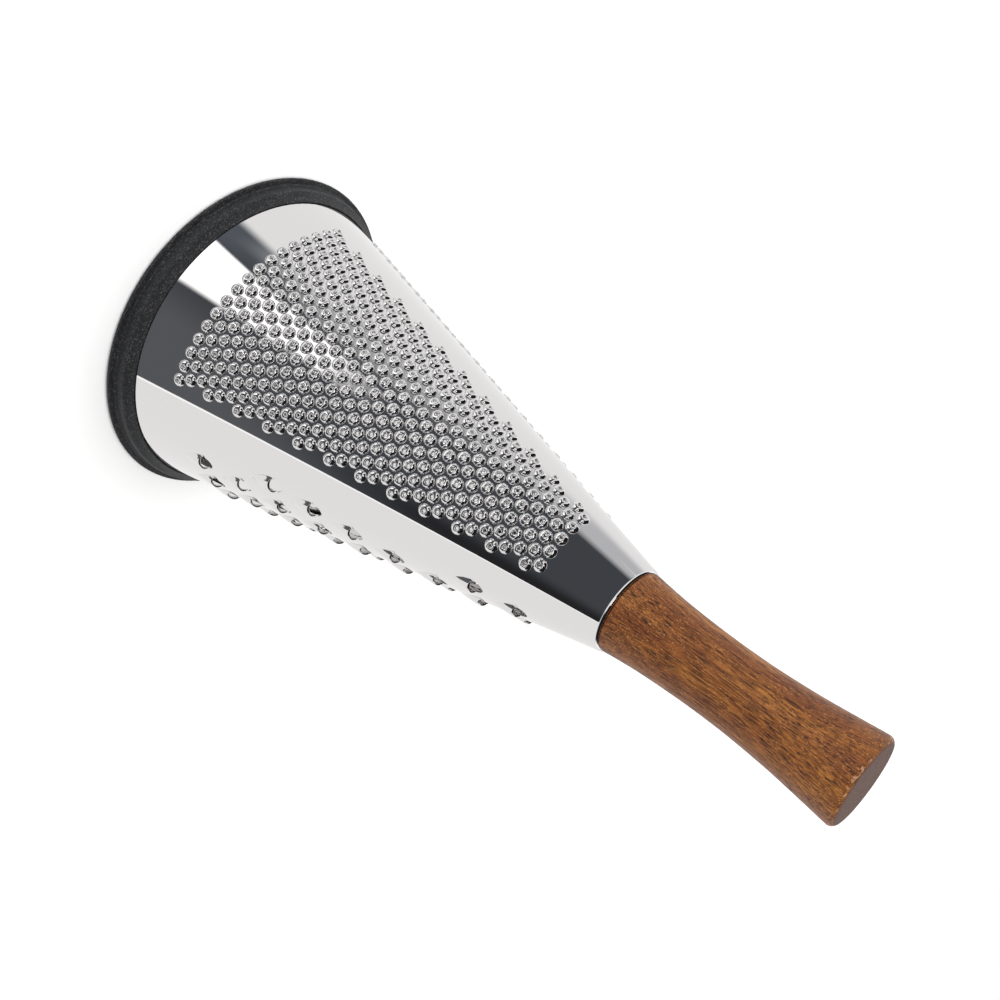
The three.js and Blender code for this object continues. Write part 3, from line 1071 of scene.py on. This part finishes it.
@dataclass
class Studio:
    """A pale floor in a light tent, with a few cards for the steel to reflect.

    Matt surfaces are lit by the tent alone, which is brighter on its left, towards -X.
    """

    cards: list[Card]
    surround: float = 0.98
    overhead: float = 1.5
    overhead_heights: tuple[float, float] = (12.0, 32.0)
    left_light: Colour = (2.05, 2.05, 2.06)
    right_light: Colour = (0.76, 0.76, 0.76)
    floor_reach: float = 8.0
    paper: tuple[str, str] = ("#FAFAF9", "#FCFCFB")

    def light(self) -> None:
        """Builds the tent and its cards as the world."""
        world = bpy.data.worlds.new("light_tent")
        world.use_nodes = True
        bpy.context.scene.world = world
        tree = world.node_tree
        tree.nodes.clear()
        towards = add(tree, "ShaderNodeTexCoord").outputs["Generated"]
        parts = add(tree, "ShaderNodeSeparateXYZ", {0: towards}).outputs
        back = add(tree, "ShaderNodeMath", {0: parts["Y"], 1: -1.0}, operation="MULTIPLY")
        around = add(tree, "ShaderNodeMath", {0: parts["X"], 1: back}, operation="ARCTAN2")
        above = add(tree, "ShaderNodeMath", {0: parts["Z"]}, operation="ARCSINE")
        heading, height = (add(tree, "ShaderNodeMath", {0: angle}, operation="DEGREES")
                           for angle in (around, above))
        high, side = (add(tree, "ShaderNodeMapRange", {
            "Value": value, "From Min": start, "From Max": end}, interpolation_type="SMOOTHSTEP")
            for value, start, end in ((height, *self.overhead_heights), (parts["X"], -0.9, 0.9)))
        colour = add(tree, "ShaderNodeMix", {
            0: high, 6: (self.surround,) * 3 + (1,), 7: (self.overhead,) * 3 + (1,)},
            data_type="RGBA")
        plain = add(tree, "ShaderNodeMix", {
            0: side, 6: (*self.left_light, 1), 7: (*self.right_light, 1)}, data_type="RGBA")
        path = add(tree, "ShaderNodeLightPath").outputs
        covers = [(self.cover(tree, card, heading, height), (*card.tone, 1))
                  for card in self.cards]
        covers += [(path["Is Diffuse Ray"], plain), (path["Is Camera Ray"], (1, 1, 1, 1))]
        for share, tone in covers:
            colour = add(tree, "ShaderNodeMix", {0: share, 6: colour, 7: tone}, data_type="RGBA")
        glow = add(tree, "ShaderNodeBackground", {"Color": colour})
        add(tree, "ShaderNodeOutputWorld", {"Surface": glow})

    def cover(self, tree: Tree, card: Card, heading: Node,
              height: Node) -> Node:
        """Returns how much of a direction the card covers, from 0 to 1."""
        whole = 1.0
        edges = zip((heading, heading, height, height), (*card.headings, *card.heights),
                    card.soft, (*card.slopes, 0.0, 0.0), (1, -1, 1, -1))
        for value, edge, soft, slope, way in edges:
            slid = add(tree, "ShaderNodeMath", {0: height, 1: -slope, 2: value},
                       operation="MULTIPLY_ADD")
            inside = add(tree, "ShaderNodeMapRange", {
                "Value": slid, "From Min": edge, "From Max": edge + way * soft},
                interpolation_type="SMOOTHSTEP")
            whole = add(tree, "ShaderNodeMath", {0: whole, 1: inside}, operation="MULTIPLY")
        return whole

    def floor(self) -> Piece:
        """Lays the floor of pale paper. The steel reflects the tent rather than the floor."""
        mesh = bpy.data.meshes.new("paper_floor")
        reach = self.floor_reach
        corners = [(-reach, -reach, 0), (reach, -reach, 0), (reach, reach, 0), (-reach, reach, 0)]
        mesh.from_pydata(corners, [], [(0, 1, 2, 3)])
        floor = mesh_object("paper_floor", mesh)
        floor.visible_glossy = False
        finish = Finish("white_background_paper", "")
        material, tree = finish.start()
        fibres = grain(tree, [3, 3, 3], detail=3)
        low, high = (linear(colour) for colour in self.paper)
        tone = add(tree, "ShaderNodeMix", {0: fibres, 6: low, 7: high}, data_type="RGBA")
        mesh.materials.append(finish.shaded(material, {
            "Base Color": tone, "Roughness": 0.95, "Specular IOR Level": 0.0}))
        return floor


@dataclass(frozen=True)
class View:
    """The camera's place, the way it faces and how far it is rolled."""

    place_mm: tuple[float, float, float] = (110.9, -376.8, 325.3)
    heading: float = 17.09
    height: float = 27.13
    roll: float = 125.84
    lens_mm: float = 48.63

    def set_up(self) -> Piece:
        """Makes the camera and hands it to the scene."""
        data = bpy.data.cameras.new("camera")
        data.lens = self.lens_mm
        data.clip_start, data.clip_end = 0.01, 60.0
        camera = bpy.data.objects.new("camera", data)
        bpy.context.scene.collection.objects.link(camera)
        a, e = math.radians(self.heading), math.radians(self.height)
        back = Vector((math.sin(a) * math.cos(e), -math.cos(a) * math.cos(e), math.sin(e)))
        right = Vector((math.cos(a), math.sin(a), 0))
        facing = Matrix((right, back.cross(right), back)).transposed().to_4x4()
        turn = facing @ Matrix.Rotation(math.radians(self.roll), 4, "Z")
        camera.matrix_world = Matrix.Translation(Vector(self.place_mm) * MM) @ turn
        bpy.context.scene.camera = camera
        return camera


# ---- Putting it together -----------------------------------------------------------------


def mm_box(node: str) -> tuple[Vector, Vector]:
    """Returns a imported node's lowest and highest corners in millimetres."""
    low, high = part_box(node)
    return low / MM, high / MM


def grating_zones() -> list[Zone]:
    """Returns the sheet's three grating zones."""
    coarse_rows = (7, 6, 7, 6, 5, 4, 3, 4, 3)
    fine = Tooth(ToothShape.CROWN, half_width=2.28, height=1.45, sheet=0.7, sides=12)
    extra = Tooth(ToothShape.CROWN, half_width=1.6, height=0.85, sheet=0.7, sides=8)
    scoop = Tooth(ToothShape.SCOOP, half_width=3.7, height=1.6, sheet=0.7, sides=24,
                  length=9.5, reach=3.6)

    def narrowing(first: int) -> Callable[[int], int]:
        """Returns a count that steps in by half a pitch a row, and out every third row."""
        return lambda row: max(first - row // 3 - row % 3, 2)

    return [
        Zone("fine_zone", fine, turn=0, start=26.15, row_pitch=3.98, pitch=5.16,
             count=narrowing(17)),
        Zone("extra_fine_zone", extra, turn=-120, start=22.05, row_pitch=3.05, pitch=3.95,
             count=narrowing(22)),
        Zone("coarse_zone", scoop, turn=121, start=36.15, row_pitch=15.27, pitch=11.9,
             count=lambda row: coarse_rows[row], quarter_turns=False),
    ]


def studio_cards() -> list[Card]:
    """Returns the cards that the steel reflects. Each one lies over those before it."""
    all_round = (-182, 182)
    return [
        # Surroundings: dark below the table, grey at the left, dark at the right and overhead.
        Card((0.04, 0.04, 0.045), all_round, (-91, -58), (1, 1, 1, 12)),
        Card((0.58, 0.59, 0.61), (-104, -40), (-12, 12), (26, 10, 8, 4)),
        Card((0.02, 0.02, 0.023), (34, 146), (14, 91), (18, 14, 7, 1), (0.3, 0)),
        Card((0.015, 0.015, 0.018), all_round, (23, 91), (1, 1, 9, 1)),
        # The soft box over the front.
        Card((2.6, 2.6, 2.6), (2, 34), (36, 52), (5, 5, 4, 4)),
        # The dark front that the fine teeth stand against, with its paler and darker parts.
        Card((0.062, 0.068, 0.078), (-56, 78), (-34, 15), (16, 0.7, 4, 7), (-0.8, -0.34)),
        Card((0.115, 0.120, 0.13), (8, 78), (-34, -9), (34, 0.7, 4, 8), (0, -0.34)),
        Card((0.105, 0.12, 0.14), (-46, -14), (-34, -14), (8, 12, 4, 5)),
        Card((0.022, 0.022, 0.024), (46, 78), (-13, 12), (26, 0.7, 9, 6), (0, -0.34)),
        # Grey and white strips at its left, and a bright patch and a bright line within it.
        Card((0.45, 0.46, 0.48), (-56, -18), (-16, -3), (6, 16, 2.5, 9)),
        Card((0.92, 0.93, 0.95), (-67, -61), (-2, 12), (2.5, 2.5, 3, 4)),
        Card((1.7, 1.7, 1.7), (-9, -1), (-34, -7.5), (2.5, 5, 5, 4), (0.7, -1.05)),
        Card((1.3, 1.3, 1.3), (77.5, 79.3), (-34, 10), (0.5, 0.5, 4, 4), (-0.34, -0.34)),
    ]


def main() -> None:
    """Loads the frame, builds every piece with its finish, and sets up the studio."""
    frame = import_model()
    cone_low, cone_high = mm_box("grater_cone")
    ring_high = mm_box("foot_ring")[1]
    disc_low, disc_high = mm_box("neck_disc")
    washer_low, washer_high = mm_box("washer")
    handle_low, handle_high = mm_box("handle")

    steel = PolishedStainless()
    sheet = steel.make()
    size = ConeSize(rim_radius=cone_high.x, rim_z=cone_low.z, neck_z=cone_high.z)
    cone = PunchedCone(size, grating_zones()).build(sheet)
    steel.dress(cone, sheet)
    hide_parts("grater_cone")

    rubber = MouldedRubber()
    ring = FootRing(size, outer=ring_high.x, top=ring_high.z).build()
    rubber.dress(ring, rubber.make())
    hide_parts("foot_ring")

    wood = OiledHardwood(top_m=handle_high.z * MM)
    handle = Handle(shoulder_z=size.neck_z + SEAT_GAP, top=handle_high.z,
                    tenon_end=handle_low.z, tenon_radius=size.opening - FIT_GAP).build()
    wood.dress(handle, wood.make())
    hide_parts("handle")

    satin = SatinSteel()
    hardware = satin.make()
    fall = (disc_high.z - disc_low.z) * math.tan(size.lean)
    plates = NeckFastening(
        disc=(disc_low.z, disc_high.z), washer=(washer_low.z, washer_high.z),
        disc_radii=(disc_high.x, disc_high.x - fall), washer_radius=washer_high.x).build()
    for plate, node in zip(plates, ("neck_disc", "washer")):
        satin.dress(plate, hardware)
        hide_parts(node)
    screw = frame["nodes"]["handle_screw"]
    satin.dress(screw, hardware)

    for piece in (cone, ring, handle, *plates):
        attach(piece, "root")
    for piece in (cone, ring, handle, *plates, screw):
        LOG.info("%s: %d faces", piece.name, len(piece.data.polygons))

    studio = Studio(studio_cards())
    studio.light()
    studio.floor()
    View().set_up()
    bpy.context.scene.view_settings.view_transform = "Standard"


if __name__ == "__main__":
    logging.basicConfig(level=logging.INFO, format="%(name)s: %(message)s")
    main()
